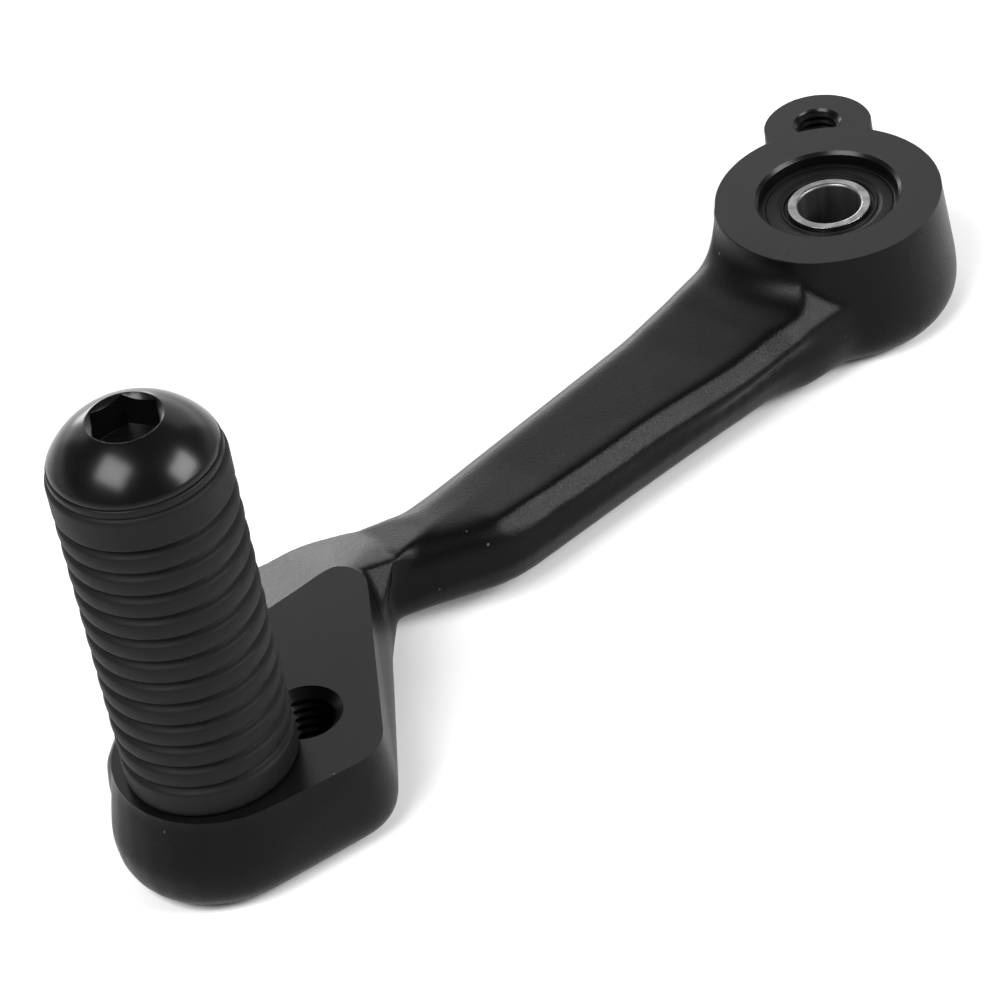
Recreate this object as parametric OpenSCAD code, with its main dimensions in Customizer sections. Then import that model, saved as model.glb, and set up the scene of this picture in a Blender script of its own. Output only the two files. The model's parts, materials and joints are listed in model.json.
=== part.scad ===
// Motorcycle gear shift lever: forged arm on two sealed ball bearings, with a ribbed toe peg.
// Millimetres. The pivot axis is Z, through the origin, which is midway along the pivot bore.
// +X runs from the pivot to the toe peg, and +Z is the side that the peg stands on.

/* [Lever] */
// Distance from the pivot axis to the toe peg axis
reach = 115.3; // [108:0.1:124]
// Radius of the hub at its machined top face
hub_r = 14.4; // [14:0.1:16]
// Draft of the forged hub wall, in degrees
hub_draft = 5; // [3:0.5:6]
// Thickness of the lip that stops the front bearing
lip_t = 1.5; // [1.2:0.1:2.5]
// Radius of the opening in that lip
lip_r = 8.9; // [8.5:0.1:9.4]
// Thickness of the land behind the retaining ring
land_t = 0.6; // [0.5:0.1:1.5]
// Height of the arm's forged top below the hub face
arm_drop = 6; // [4:0.5:7]
// Thickness of the arm
arm_t = 9.2; // [8:0.1:10.2]
// Width of the arm where it leaves the hub
arm_root_w = 19; // [17:0.1:20.5]
// Width of the arm just before its bend
arm_neck_w = 15.6; // [13:0.1:17]
// Distance from the hub axis to the start of the bend
bend_x = 66; // [58:1:72]

/* [Toe pad] */
// Height of the machined pad face below the hub face
pad_drop = 4.2; // [3:0.1:5.5]
// Radius of the pad's outer end, at the machined face
pad_end_r = 12.5; // [12:0.1:13.2]
// Distance from the peg axis to the pad's tip on the arm side
pad_tip = 28.8; // [26:0.1:31]
// Distance from the peg's line to the pad's near corner
pad_side = 10.2; // [9:0.1:12]
// Distance between the peg hole and the spare hole, along the lever
spare_dx = 11; // [10.4:0.1:12]
// Distance between the peg hole and the spare hole, across the lever
spare_dy = 4.2; // [3:0.1:5.5]
// Tap drill radius of the two M8 peg holes
peg_tap_r = 3.4; // [3.3:0.05:3.6]

/* [Linkage ear] */
// Distance from the pivot axis to the linkage hole
ear_reach = 20.9; // [20:0.1:24]
// Angle of the linkage ear from +X, in degrees
ear_angle = 221.9; // [205:0.1:235]
// Radius of the ear's round end
ear_r = 7.1; // [6:0.1:7.5]
// Distance from the linkage hole back to the middle of that round end
ear_set_back = 0.8; // [0:0.1:1]
// Thickness of the ear
ear_t = 9; // [7:0.5:10]
// Height of the ear's face below the hub face
ear_drop = 3.5; // [2:0.5:5]
// Tap drill radius of the M6 linkage hole
ear_tap_r = 2.5; // [2.4:0.05:2.7]

/* [Bearings] */
// Bore of each bearing
bearing_bore = 8; // [7.6:0.1:8.4]
// Outside diameter of each bearing
bearing_od = 22; // [21.6:0.1:22.4]
// Width of each bearing
bearing_w = 7; // [6.8:0.1:7.4]
// Diameter of the balls
ball_d = 3.969; // [3.8:0.001:4]
// Number of balls in each bearing
ball_n = 7; // [6:1:7]
// Radial play between balls and raceways
race_clear = 0.03; // [0.02:0.01:0.05]
// Gap between a seal's lip and the turning inner ring
lip_clear = 0.06; // [0.05:0.01:0.1]
// Thickness of the retaining ring
circlip_t = 1; // [0.8:0.1:1.2]

/* [Toe peg] */
// Radius of the rubber over its ribs
rubber_r = 10; // [9.2:0.1:11]
// Length of the rubber and of the tube inside it
rubber_len = 43.4; // [41:0.1:48]
// Number of grooves in the rubber
groove_n = 12; // [8:1:12]
// Distance from one groove to the next
groove_pitch = 3.14; // [2.9:0.01:3.2]
// Radius of each groove's round bottom
groove_r = 0.62; // [0.4:0.02:0.8]
// Height of the lowest groove above the pad
groove_start = 4.1; // [3:0.1:5]
// Outside radius of the steel tube inside the rubber
tube_r = 6; // [5.5:0.1:7]
// Thickness of the washer under the screw head
washer_t = 1; // [0.8:0.1:1.5]
// Radius of the washer under the screw head
washer_r = 9.65; // [8.5:0.1:9.8]
// Radius of the screw head at its base
head_r = 9.4; // [8.5:0.1:9.6]
// Radius of the ball that shapes the screw head
dome_r = 10.5; // [10.2:0.1:12]
// Radius of the screw's shank
shank_r = 4; // [3.8:0.05:4.1]
// Width across the flats of the screw's socket
socket_af = 7.2; // [6.4:0.1:7.6]

/* [Hidden] */
$fn = 96;
eps = 0.01;

// Levels of the lever, from the pivot bore's middle.
ring_gap = circlip_t + 0.1;
hub_top = bearing_w + lip_t;
hub_back = -bearing_w - ring_gap - land_t;
pad_top = hub_top - pad_drop;
arm_top = hub_top - arm_drop;
arm_bot = arm_top - arm_t;
parting = hub_top - 11;

// Peg levels.
rubber_top = pad_top + rubber_len;
head_base = rubber_top + washer_t;
dome_z = head_base - sqrt(dome_r * dome_r - head_r * head_r);
thread_depth = 11;
socket_depth = 4.9;
socket_turn = 50;
thread_clear = 0.03;
peg_chamfer = 1.05;
ear_chamfer = 0.65;

// Bearing proportions.
seat_r = bearing_od / 2;
bore_r = bearing_bore / 2;
pitch_r = (bearing_od + bearing_bore) / 4;
ball_r = ball_d / 2;
race_r = 0.52 * ball_d;
shoulder = 0.26 * ball_d;
inner_shoulder = pitch_r - ball_r + shoulder - 0.5;
outer_shoulder = pitch_r + ball_r - shoulder + 0.5;
inner_face_r = bore_r + 1.25;
seal_seat_r = outer_shoulder + 0.65;
seal_t = 0.75;
seal_sink = 0.2;
cage_t = 0.3;
cage_half_w = 0.85;

// ---- outline of a belt round circles [x, y, r], listed anticlockwise ----
function turn(a, b) = a + (((b - a) % 360) + 360) % 360;
function tangent(p, q) = atan2(q[1] - p[1], q[0] - p[0])
    - acos((p[2] - q[2]) / norm([q[0] - p[0], q[1] - p[1]]));
function grown(c, d) = [for (k = c) [k[0], k[1], k[2] + d]];
function belt(c, steps) = [
    for (i = [0 : len(c) - 1])
        let (m = len(c), before = c[(i + m - 1) % m], here = c[i], after = c[(i + 1) % m],
             a = tangent(before, here), b = turn(a, tangent(here, after)))
            for (s = [0 : steps])
                let (w = a + (b - a) * s / steps)
                    [here[0] + here[2] * cos(w), here[1] + here[2] * sin(w)]];

// ---- solid skinned over rings of points, all with the same count ----
module skin(rings) {
    n = len(rings[0]);
    last = len(rings) - 1;
    side = [for (j = [0 : last - 1]) for (i = [0 : n - 1])
        [j * n + i, j * n + (i + 1) % n, (j + 1) * n + (i + 1) % n, (j + 1) * n + i]];
    quads = [for (f = side) for (t = [[f[0], f[2], f[1]], [f[0], f[3], f[2]]]) t];
    caps = [[for (i = [0 : n - 1]) i], [for (i = [n - 1 : -1 : 0]) last * n + i]];
    polyhedron([for (r = rings) for (p = r) p], concat(caps, quads), convexity = 6);
}

function at_z(outline, z) = [for (p = outline) [p[0], p[1], z]];

// Catmull-Rom curve through the rows of a list.
function row(p, i) = p[max(0, min(len(p) - 1, i))];
function between(p, i, t) =
    let (a = row(p, i - 1), b = row(p, i), c = row(p, i + 1), d = row(p, i + 2))
        (2 * b + (c - a) * t + (2 * a - 5 * b + 4 * c - d) * t * t
         + (3 * b - a - 3 * c + d) * t * t * t) / 2;

// ---- forged arm ----
root_x = 28;
root_far = -11.1;
neck_far = -12.9;
near_round = 4;
far_round = 3;
low_round = 2.8;
wall_draft = 0.5;
blend_r = 4;
foot_rise = 1.4;
foot_x = hub_r - 0.1 + blend_r;
root_near = root_far + arm_root_w - 0.3;
neck_near = neck_far + arm_neck_w;
// Each row: place along X, near and far edges across Y, then the heights of its top and bottom.
// Near the hub the top sweeps up to the wall through a concave blend,
// and the near edge flares until it meets the wall.
foot_base = arm_top + foot_rise;
foot_steps = 5;
foot_rows = [for (i = [0 : foot_steps])
    let (w = 6 + 14 * i)
        [foot_x - blend_r * cos(w), root_near + 4.4 - 0.16 * i, root_far,
         foot_base + blend_r * (1 - sin(w)), arm_bot - 1 + 0.08 * i]];
buried_row = [hub_r - 8, root_near + 4, root_far - 1.3, foot_base + blend_r, arm_bot - 1];
arm_rows = [
    [root_x - 8, root_near + 2.9, root_far, foot_base - 0.1, arm_bot - 0.8],
    [root_x - 6, root_near + 1.6, root_far, foot_base - 0.4, arm_bot - 0.4],
    [root_x - 5, root_near + 1.2, root_far, foot_base - 0.6, arm_bot - 0.2],
    [root_x - 3.5, root_near + 0.7, root_far, foot_base - 0.8, arm_bot],
    [root_x, root_near + 0.1, root_far, arm_top + 0.3, arm_bot],
    [root_x + 4, root_near - 0.5, root_far - 0.1, arm_top + 0.1, arm_bot],
    [(root_x + bend_x) / 2, (root_near + neck_near) / 2, (root_far + neck_far) / 2, arm_top, arm_bot],
    [bend_x - 8, neck_near + 1.2, neck_far + 0.4, arm_top, arm_bot],
    [bend_x, neck_near, neck_far, arm_top, arm_bot],
    [reach - 43.5, neck_near - 3.2, neck_far - 0.9, arm_top, arm_bot],
    [reach - 38.5, neck_near - 6.2, neck_far - 3.4, arm_top, arm_bot],
    [reach - 33, neck_near - 8.6, neck_far - 7.3, arm_top, arm_bot],
    [reach - 26, neck_near - 11, neck_far - 8.9, arm_top, arm_bot]];
arm_steps = 3;

// Points along an arc from one angle to another.
function arc(y, z, r, from, to, steps) = [
    for (i = [0 : steps])
        let (w = from + (to - from) * i / steps)
            [y + r * cos(w), z + r * sin(w)]];

// One cross-section of the arm, seen along +X, anticlockwise from its lower near edge.
function arm_section(s) =
    let (near = s[1] - wall_draft, far = s[2] + wall_draft, low = s[4] + low_round)
        concat(arc(near - low_round, low, low_round, -90, 0, 4),
               [[s[1], parting]],
               arc(near - near_round, s[3] - near_round, near_round, 0, 90, 4),
               arc(far + far_round, s[3] - far_round, far_round, 90, 180, 3),
               [[s[2], parting]],
               arc(far + low_round, low, low_round, 180, 270, 4));

// Sections near the hub are bowed to follow its round wall, apart from the flat first one.
bow_length = 8;
function bowed(x, y) =
    x < hub_r - 5 || x > root_x ? x
    : x - (hub_r - sqrt(hub_r * hub_r - y * y)) * min(1, (root_x - x) / bow_length);

module arm() {
    last = len(arm_rows) - 1;
    swept = [for (i = [0 : last - 1]) for (t = [0 : arm_steps - 1]) between(arm_rows, i, t / arm_steps)];
    rows = concat([buried_row], foot_rows, swept, [arm_rows[last]]);
    skin([for (s = rows) [for (p = arm_section(s)) [bowed(s[0], p[0]), p[0], p[1]]]]);
}

// ---- hub, with its draft meeting at the parting line ----
hub_belly = hub_r + (hub_top - parting) * tan(hub_draft);
hub_round = 4.2;
module hub() {
    rotate_extrude() {
        polygon(concat(
            [[0, hub_top], [0, hub_back], [hub_belly - hub_round * (1 - cos(60)) - 0.5, hub_back]],
            [for (a = [60 : -12 : 0])
                [hub_belly - hub_round * (1 - cos(a)), hub_back + hub_round - hub_round * sin(a)]],
            [[hub_belly, parting], [hub_r, hub_top]]));
    }
}

// ---- toe pad: a machined boss beside the arm's crowned end ----
pad_round = 4;
// Circles round the boss: tip, end and near corner, at its face and at the parting line.
boss_face = [
    [reach - pad_tip, -7.2, 3.7],
    [reach - 1.7, -0.4, pad_end_r],
    [reach - 10, pad_side, 5.2]];
boss_wide = [
    [reach - pad_tip, -7, 5.1],
    [reach + 0.9, 0, pad_end_r - 0.1],
    [reach - 9.8, pad_side - 0.8, 6.3]];
shelf_circles = [
    [reach - 25.8, -15, 7.4],
    [reach - 15.3, -13.4, 8.8],
    [reach - 3, -5, 11.8],
    [reach - 18, -3, 9]];

// Levels of a rounded lower edge: [height, inset].
function round_levels(z0, r) = [for (a = [90 : -22.5 : 0]) [z0 + r - r * sin(a), r * (1 - cos(a))]];
module drafted(rings, steps) {
    skin([for (g = rings) at_z(belt(g[1], steps), g[0])]);
}

// Levels of the shelf's crown: [height, inset].
crown = [
    [parting, 0],
    [arm_top - 2.4, 0.1],
    [arm_top - 1.3, 0.9],
    [arm_top - 0.5, 2.2],
    [arm_top + 0.3, 4.2],
    [arm_top + 0.9, 6.4]];

module toe_pad() {
    low = round_levels(hub_back, pad_round);
    boss_low = [for (l = low) [l[0], grown(boss_wide, -l[1])]];
    boss_top = [[parting, boss_wide], [pad_top - 0.2, boss_face], [pad_top, grown(boss_face, -0.25)]];
    shelf_low = [for (l = low) [l[0], grown(shelf_circles, -l[1] - 0.6)]];
    shelf_top = [for (l = crown) [l[0], grown(shelf_circles, -l[1])]];
    drafted(concat(boss_low, boss_top), 12);
    drafted(concat(shelf_low, shelf_top), 9);
}

// Web that fills the corner between the boss and the arm's near side: circles at each level.
web_levels = [
    [arm_bot + 0.6, [[reach - 33.8, -6.2, 0.7], [reach - 28, -10, 1], [reach - 29.6, -2.6, 0.7]]],
    [arm_bot + 1.6, [[reach - 34.9, -5.7, 1], [reach - 28, -10, 1], [reach - 30.4, -2.5, 1]]],
    [parting, [[reach - 34.4, -6.2, 0.9], [reach - 28, -10, 1], [reach - 31, -3.6, 0.9]]],
    [parting + 2.4, [[reach - 35.2, -7.2, 0.9], [reach - 28, -10, 1], [reach - 31.6, -4.8, 0.9]]],
    [arm_top - 1.2, [[reach - 36.6, -8, 0.9], [reach - 28, -10, 1], [reach - 32, -6, 0.9]]],
    [arm_top, [[reach - 36.4, -9.2, 0.7], [reach - 28, -10, 1], [reach - 31.6, -7.4, 0.7]]],
    [pad_top - 0.5, [[reach - 33.4, -9.4, 0.3], [reach - 28, -10, 1], [reach - 31.2, -7.7, 0.3]]]];
module web() {
    drafted(web_levels, 3);
}

// ---- linkage ear ----
module ear() {
    end_x = ear_reach - ear_set_back;
    foot_half = ear_r + 2.6;
    rotate(ear_angle) {
        translate([0, 0, hub_top - ear_drop - ear_t]) {
            linear_extrude(ear_t) {
                translate([end_x, 0]) {
                    circle(r = ear_r);
                }
                polygon([
                    [end_x, ear_r], [hub_r + 0.8, ear_r], [hub_r - 4, foot_half], [hub_r - 6, 0],
                    [hub_r - 4, -foot_half], [hub_r + 0.8, -ear_r], [end_x, -ear_r]]);
            }
        }
    }
}

// Tap drill hole down from a face, with a chamfer c wide at its mouth.
module tapped_hole(r, c, top, depth) {
    translate([0, 0, top - depth]) {
        cylinder(r = r, h = depth + 1);
    }
    translate([0, 0, top - c]) {
        cylinder(r1 = r, r2 = r + 2 * c, h = 2 * c);
    }
}

module lever_body() {
    color("#2b2b2d") {
        difference() {
            union() {
                arm();
                hub();
                toe_pad();
                web();
                ear();
            }
            // bearing seat, lip opening and ring groove
            translate([0, 0, hub_back - 1]) {
                cylinder(r = seat_r, h = 1 + hub_top - lip_t - hub_back);
            }
            translate([0, 0, hub_top - lip_t - 1]) {
                cylinder(r = lip_r, h = lip_t + 2);
            }
            translate([0, 0, -bearing_w - ring_gap]) {
                cylinder(r = seat_r + 0.5, h = ring_gap);
            }
            // peg holes
            translate([reach, 0, 0]) {
                tapped_hole(peg_tap_r, peg_chamfer, pad_top, pad_top - hub_back + 1);
            }
            translate([reach - spare_dx, spare_dy, 0]) {
                tapped_hole(peg_tap_r, peg_chamfer, pad_top, pad_top - hub_back + 1);
            }
            // linkage hole
            rotate(ear_angle) {
                translate([ear_reach, 0, 0]) {
                    tapped_hole(ear_tap_r, ear_chamfer, hub_top - ear_drop, ear_t + 1);
                }
            }
        }
    }
}

// ---- one bearing, centred on the origin ----
seal_step = 1.1;
ring_edge = 0.3;
module outer_ring() {
    h = bearing_w / 2;
    c = ring_edge;
    color("silver") {
        rotate_extrude() {
            difference() {
                polygon([
                    [outer_shoulder, -h + seal_step], [seal_seat_r, -h + seal_step], [seal_seat_r, -h],
                    [seat_r - c, -h], [seat_r, -h + c], [seat_r, h - c], [seat_r - c, h],
                    [seal_seat_r, h], [seal_seat_r, h - seal_step], [outer_shoulder, h - seal_step]]);
                translate([pitch_r + ball_r + race_clear - race_r, 0]) {
                    circle(r = race_r);
                }
            }
        }
    }
}

module inner_ring() {
    h = bearing_w / 2;
    c = ring_edge;
    color("#d8d8da") {
        rotate_extrude() {
            difference() {
                polygon([
                    [bore_r + c, -h], [inner_face_r, -h], [inner_face_r, -h + seal_step],
                    [inner_shoulder, -h + seal_step], [inner_shoulder, h - seal_step],
                    [inner_face_r, h - seal_step], [inner_face_r, h], [bore_r + c, h],
                    [bore_r, h - c], [bore_r, -h + c]]);
                translate([pitch_r - ball_r - race_clear + race_r, 0]) {
                    circle(r = race_r);
                }
            }
        }
    }
}

module at_balls() {
    for (i = [0 : ball_n - 1]) {
        rotate(i * 360 / ball_n) {
            translate([pitch_r, 0, 0]) {
                children();
            }
        }
    }
}

module balls() {
    color("silver") {
        at_balls() {
            sphere(r = ball_r);
        }
    }
}

// Half of the pressed cage: a flat ribbon with a pocket over each ball.
module cage_half() {
    color("#8d8f92") {
        intersection() {
            difference() {
                union() {
                    cylinder(r = pitch_r + cage_half_w, h = cage_t);
                    at_balls() {
                        sphere(r = ball_r + 0.05 + cage_t);
                    }
                }
                at_balls() {
                    sphere(r = ball_r + 0.05);
                }
            }
            difference() {
                cylinder(r = pitch_r + cage_half_w, h = bearing_w);
                translate([0, 0, -1]) {
                    cylinder(r = pitch_r - cage_half_w, h = bearing_w + 2);
                }
            }
        }
    }
}

// Rubber seal held in the outer ring, with its lip close to the inner ring.
module seal() {
    top = bearing_w / 2 - seal_sink;
    lip_in = inner_face_r + lip_clear;
    color("#1b1b1c") {
        rotate_extrude() {
            polygon([
                [lip_in, top - seal_t], [lip_in, top - seal_t + 0.3], [inner_face_r + 0.7, top - 0.3],
                [inner_face_r + 0.9, top], [seal_seat_r - 0.5, top], [seal_seat_r - 0.3, top - 0.15],
                [seal_seat_r, top - 0.15], [seal_seat_r, top - seal_t]]);
        }
    }
}

// The front bearing sits above the middle of the hub, and the rear one below it.
front_z = bearing_w / 2;

module front_outer_ring() {
    translate([0, 0, front_z]) {
        outer_ring();
    }
}

module front_inner_ring() {
    translate([0, 0, front_z]) {
        inner_ring();
    }
}

module front_balls() {
    translate([0, 0, front_z]) {
        balls();
    }
}

module front_cage_upper() {
    translate([0, 0, front_z]) {
        cage_half();
    }
}

module front_cage_lower() {
    translate([0, 0, front_z]) {
        mirror([0, 0, 1]) {
            cage_half();
        }
    }
}

module front_outer_seal() {
    translate([0, 0, front_z]) {
        seal();
    }
}

module front_inner_seal() {
    translate([0, 0, front_z]) {
        mirror([0, 0, 1]) {
            seal();
        }
    }
}

module rear_outer_ring() {
    translate([0, 0, -front_z]) {
        outer_ring();
    }
}

module rear_inner_ring() {
    translate([0, 0, -front_z]) {
        inner_ring();
    }
}

module rear_balls() {
    translate([0, 0, -front_z]) {
        balls();
    }
}

module rear_cage_upper() {
    translate([0, 0, -front_z]) {
        cage_half();
    }
}

module rear_cage_lower() {
    translate([0, 0, -front_z]) {
        mirror([0, 0, 1]) {
            cage_half();
        }
    }
}

module rear_outer_seal() {
    translate([0, 0, -front_z]) {
        mirror([0, 0, 1]) {
            seal();
        }
    }
}

module rear_inner_seal() {
    translate([0, 0, -front_z]) {
        seal();
    }
}

// Retaining ring behind the rear bearing, open at one side, with two lugs.
module circlip() {
    outer_r = seat_r + 0.45;
    inner_r = seal_seat_r - 0.1;
    wide_side = 0.3;
    gap_half = 12;
    lug_turn = gap_half + 7;
    lug_x = seat_r - 1.4;
    lug_r = 1.4;
    eye_r = 0.7;
    far = 2 * outer_r;
    color("#55575a") {
        translate([0, 0, -bearing_w - circlip_t]) {
            linear_extrude(circlip_t) {
                difference() {
                    union() {
                        difference() {
                            circle(r = outer_r);
                            translate([-wide_side, 0]) {
                                circle(r = inner_r);
                            }
                            polygon([[0, 0], [far, -far * tan(gap_half)], [far, far * tan(gap_half)]]);
                        }
                        for (side = [-1, 1]) {
                            rotate(side * lug_turn) {
                                translate([lug_x, 0]) {
                                    circle(r = lug_r);
                                }
                            }
                        }
                    }
                    for (side = [-1, 1]) {
                        rotate(side * lug_turn) {
                            translate([lug_x, 0]) {
                                circle(r = eye_r);
                            }
                        }
                    }
                }
            }
        }
    }
}

// ---- toe peg ----
module peg_screw() {
    color("#141416") {
        translate([reach, 0, 0]) {
            difference() {
                union() {
                    intersection() {
                        translate([0, 0, dome_z]) {
                            sphere(r = dome_r);
                        }
                        translate([0, 0, head_base]) {
                            cylinder(r = head_r, h = dome_r);
                        }
                    }
                    translate([0, 0, pad_top]) {
                        cylinder(r = shank_r, h = head_base - pad_top + eps);
                    }
                    translate([0, 0, pad_top - thread_depth]) {
                        cylinder(r = peg_tap_r - thread_clear, h = thread_depth + eps);
                    }
                }
                translate([0, 0, dome_z + dome_r - socket_depth]) {
                    rotate(socket_turn) {
                        cylinder(r = socket_af / sqrt(3), h = socket_depth + 1, $fn = 6);
                    }
                }
            }
        }
    }
}

module peg_washer() {
    color("#3a3a3d") {
        translate([reach, 0, rubber_top]) {
            difference() {
                cylinder(r = washer_r, h = washer_t);
                translate([0, 0, -1]) {
                    cylinder(r = shank_r + 0.2, h = washer_t + 2);
                }
            }
        }
    }
}

module peg_tube() {
    color("#9a9ca0") {
        translate([reach, 0, pad_top]) {
            difference() {
                cylinder(r = tube_r, h = rubber_len);
                translate([0, 0, -1]) {
                    cylinder(r = shank_r + 0.2, h = rubber_len + 2);
                }
            }
        }
    }
}

module peg_rubber() {
    edge = 0.5;
    color("#232325") {
        translate([reach, 0, pad_top]) {
            rotate_extrude() {
                difference() {
                    polygon([[tube_r, 0], [rubber_r - edge, 0], [rubber_r, edge],
                             [rubber_r, rubber_len - edge], [rubber_r - edge, rubber_len],
                             [tube_r, rubber_len]]);
                    for (i = [0 : groove_n - 1]) {
                        translate([rubber_r - 0.25, groove_start + i * groove_pitch]) {
                            circle(r = groove_r, $fn = 24);
                        }
                    }
                }
            }
        }
    }
}

lever_body();
front_outer_ring();
front_inner_ring();
front_balls();
front_cage_upper();
front_cage_lower();
front_outer_seal();
front_inner_seal();
rear_outer_ring();
rear_inner_ring();
rear_balls();
rear_cage_upper();
rear_cage_lower();
rear_outer_seal();
rear_inner_seal();
circlip();
peg_screw();
peg_washer();
peg_tube();
peg_rubber();
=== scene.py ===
import json
import math

import bmesh
import bpy
import numpy as np
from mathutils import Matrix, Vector


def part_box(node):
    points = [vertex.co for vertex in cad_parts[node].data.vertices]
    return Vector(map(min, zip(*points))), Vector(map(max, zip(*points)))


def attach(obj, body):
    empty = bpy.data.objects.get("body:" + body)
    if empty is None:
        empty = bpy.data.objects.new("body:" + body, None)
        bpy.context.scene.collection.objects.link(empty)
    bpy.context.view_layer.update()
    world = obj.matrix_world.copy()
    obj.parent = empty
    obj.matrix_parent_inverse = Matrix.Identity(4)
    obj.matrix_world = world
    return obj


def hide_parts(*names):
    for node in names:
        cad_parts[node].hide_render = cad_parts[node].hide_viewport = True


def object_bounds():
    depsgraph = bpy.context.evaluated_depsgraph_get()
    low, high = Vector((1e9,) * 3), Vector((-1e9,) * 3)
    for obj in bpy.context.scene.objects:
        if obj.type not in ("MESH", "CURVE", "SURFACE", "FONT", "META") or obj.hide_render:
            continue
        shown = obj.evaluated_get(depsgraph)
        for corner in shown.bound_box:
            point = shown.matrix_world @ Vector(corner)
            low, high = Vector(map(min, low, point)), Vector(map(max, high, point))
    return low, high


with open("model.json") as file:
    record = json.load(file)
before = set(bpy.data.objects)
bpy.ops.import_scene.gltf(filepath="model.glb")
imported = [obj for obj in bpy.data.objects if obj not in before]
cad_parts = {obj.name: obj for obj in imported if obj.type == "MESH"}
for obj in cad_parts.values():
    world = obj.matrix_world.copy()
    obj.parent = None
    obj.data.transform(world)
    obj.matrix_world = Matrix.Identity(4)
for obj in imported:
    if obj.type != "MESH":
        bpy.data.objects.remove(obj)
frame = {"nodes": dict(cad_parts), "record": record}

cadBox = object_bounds()
nodes = frame["nodes"]
record = frame["record"]
mount = {m["name"]: m for m in record["mounts"]}
mm = 0.001
past = 1  # mm that a cutter reaches beyond the metal
cutterSteps, ringSteps, seatSteps, rubberSteps = 96, 160, 192, 360  # sides of each turned shape


def placed(name, data):
    obj = bpy.data.objects.new(name, data)
    bpy.context.scene.collection.objects.link(obj)
    return obj


def addMesh(name, verts, faces):
    mesh = bpy.data.meshes.new(name)
    mesh.from_pydata([tuple(v) for v in verts], [], faces)
    return placed(name, mesh)


def tidyMesh(obj, weld=1e-7):
    work = bmesh.new()
    work.from_mesh(obj.data)
    bmesh.ops.remove_doubles(work, verts=work.verts, dist=weld)
    bmesh.ops.recalc_face_normals(work, faces=work.faces)
    work.to_mesh(obj.data)
    work.free()
    return obj


def shaded(obj, angle):  # smooth, but for edges sharper than the angle
    obj.data.polygons.foreach_set("use_smooth", [True] * len(obj.data.polygons))
    obj.data.set_sharp_from_angle(angle=math.radians(angle))
    return obj


def settle(obj):  # bakes the object's modifiers into its mesh
    graph = bpy.context.evaluated_depsgraph_get()
    mesh = bpy.data.meshes.new_from_object(obj.evaluated_get(graph))
    obj.modifiers.clear()
    obj.data = mesh
    return obj


def carve(obj, cutter):
    cut = obj.modifiers.new("carve", "BOOLEAN")
    cut.object = cutter
    cut.operation = "DIFFERENCE"
    cut.solver = "MANIFOLD"
    settle(obj)
    bpy.data.objects.remove(cutter)


def bevelled(obj, width, segments, angle):  # breaks the edges sharper than the angle
    bevel = obj.modifiers.new("edges", "BEVEL")
    bevel.width = width * mm
    bevel.segments = segments
    bevel.limit_method = "ANGLE"
    bevel.angle_limit = math.radians(angle)
    return settle(obj)


def smoothed(obj, turns, blendTurns):  # smooths the whole skin, then its blends again
    for zone, count in (("", turns), ("blends", blendTurns)):
        smooth = obj.modifiers.new("smooth", "SMOOTH")
        smooth.factor = 0.5
        smooth.iterations = count
        smooth.vertex_group = zone
    return settle(obj)


def eased(corners, steps=4, most=0.49):  # rounds each (x, y, r) corner, up to a share of its edges
    out = []
    for i, (x, y, r) in enumerate(corners):
        here = Vector((x, y))
        before = Vector(corners[i - 1][:2]) - here
        after = Vector(corners[(i + 1) % len(corners)][:2]) - here
        if not r:
            out.append((x, y))
            continue
        reach = min(r, before.length * most, after.length * most)
        a, b = here + before.normalized() * reach, here + after.normalized() * reach
        for k in range(steps + 1):
            t = k / steps
            p = a * (1 - t) ** 2 + here * 2 * t * (1 - t) + b * t * t
            out.append((p.x, p.y))
    return out


def lathe(name, profile, steps, centre=(0, 0), swell=None):
    # turns a closed outline of (radius, height) in mm about the vertical line through centre
    verts, faces = [], []
    for i in range(steps):
        turn = 2 * math.pi * i / steps
        for r, z in profile:
            far = r + (swell(turn, r) if swell else 0)
            x, y = centre[0] + far * math.cos(turn), centre[1] + far * math.sin(turn)
            verts.append((x * mm, y * mm, z * mm))
    n = len(profile)
    for i in range(steps):
        j = (i + 1) % steps
        for k in range(n):
            m = (k + 1) % n
            faces.append((i * n + k, j * n + k, j * n + m, i * n + m))
    return tidyMesh(addMesh(name, verts, faces), 1e-6)


def block(name, corners):  # the convex block over points in mm
    work = bmesh.new()
    for corner in corners:
        work.verts.new(Vector(corner) * mm)
    bmesh.ops.convex_hull(work, input=work.verts)
    bmesh.ops.delete(work, geom=[v for v in work.verts if not v.link_faces], context="VERTS")
    mesh = bpy.data.meshes.new(name)
    work.to_mesh(mesh)
    work.free()
    return placed(name, mesh)


def prism(name, points, low, high):  # a convex outline given height
    return block(name, [(x, y, z) for x, y in points for z in (low, high)])


def circle(x, y, r, steps=48):
    turns = [2 * math.pi * i / steps for i in range(steps)]
    return [(x + r * math.cos(turn), y + r * math.sin(turn)) for turn in turns]


def loft(name, rings):  # joins rings of points in mm, all with the same count, and caps both ends
    n, last = len(rings[0]), len(rings) - 1
    faces = [tuple(reversed(range(n))), tuple(last * n + k for k in range(n))]
    for i in range(last):
        for k in range(n):
            m = (k + 1) % n
            faces.append((n * i + k, n * i + m, n * i + n + m, n * i + n + k))
    return tidyMesh(addMesh(name, [Vector(p) * mm for ring in rings for p in ring], faces))


def copyOf(node, name):
    obj = placed(name, nodes[node].data.copy())
    obj.data.materials.clear()
    return tidyMesh(obj)


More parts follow.
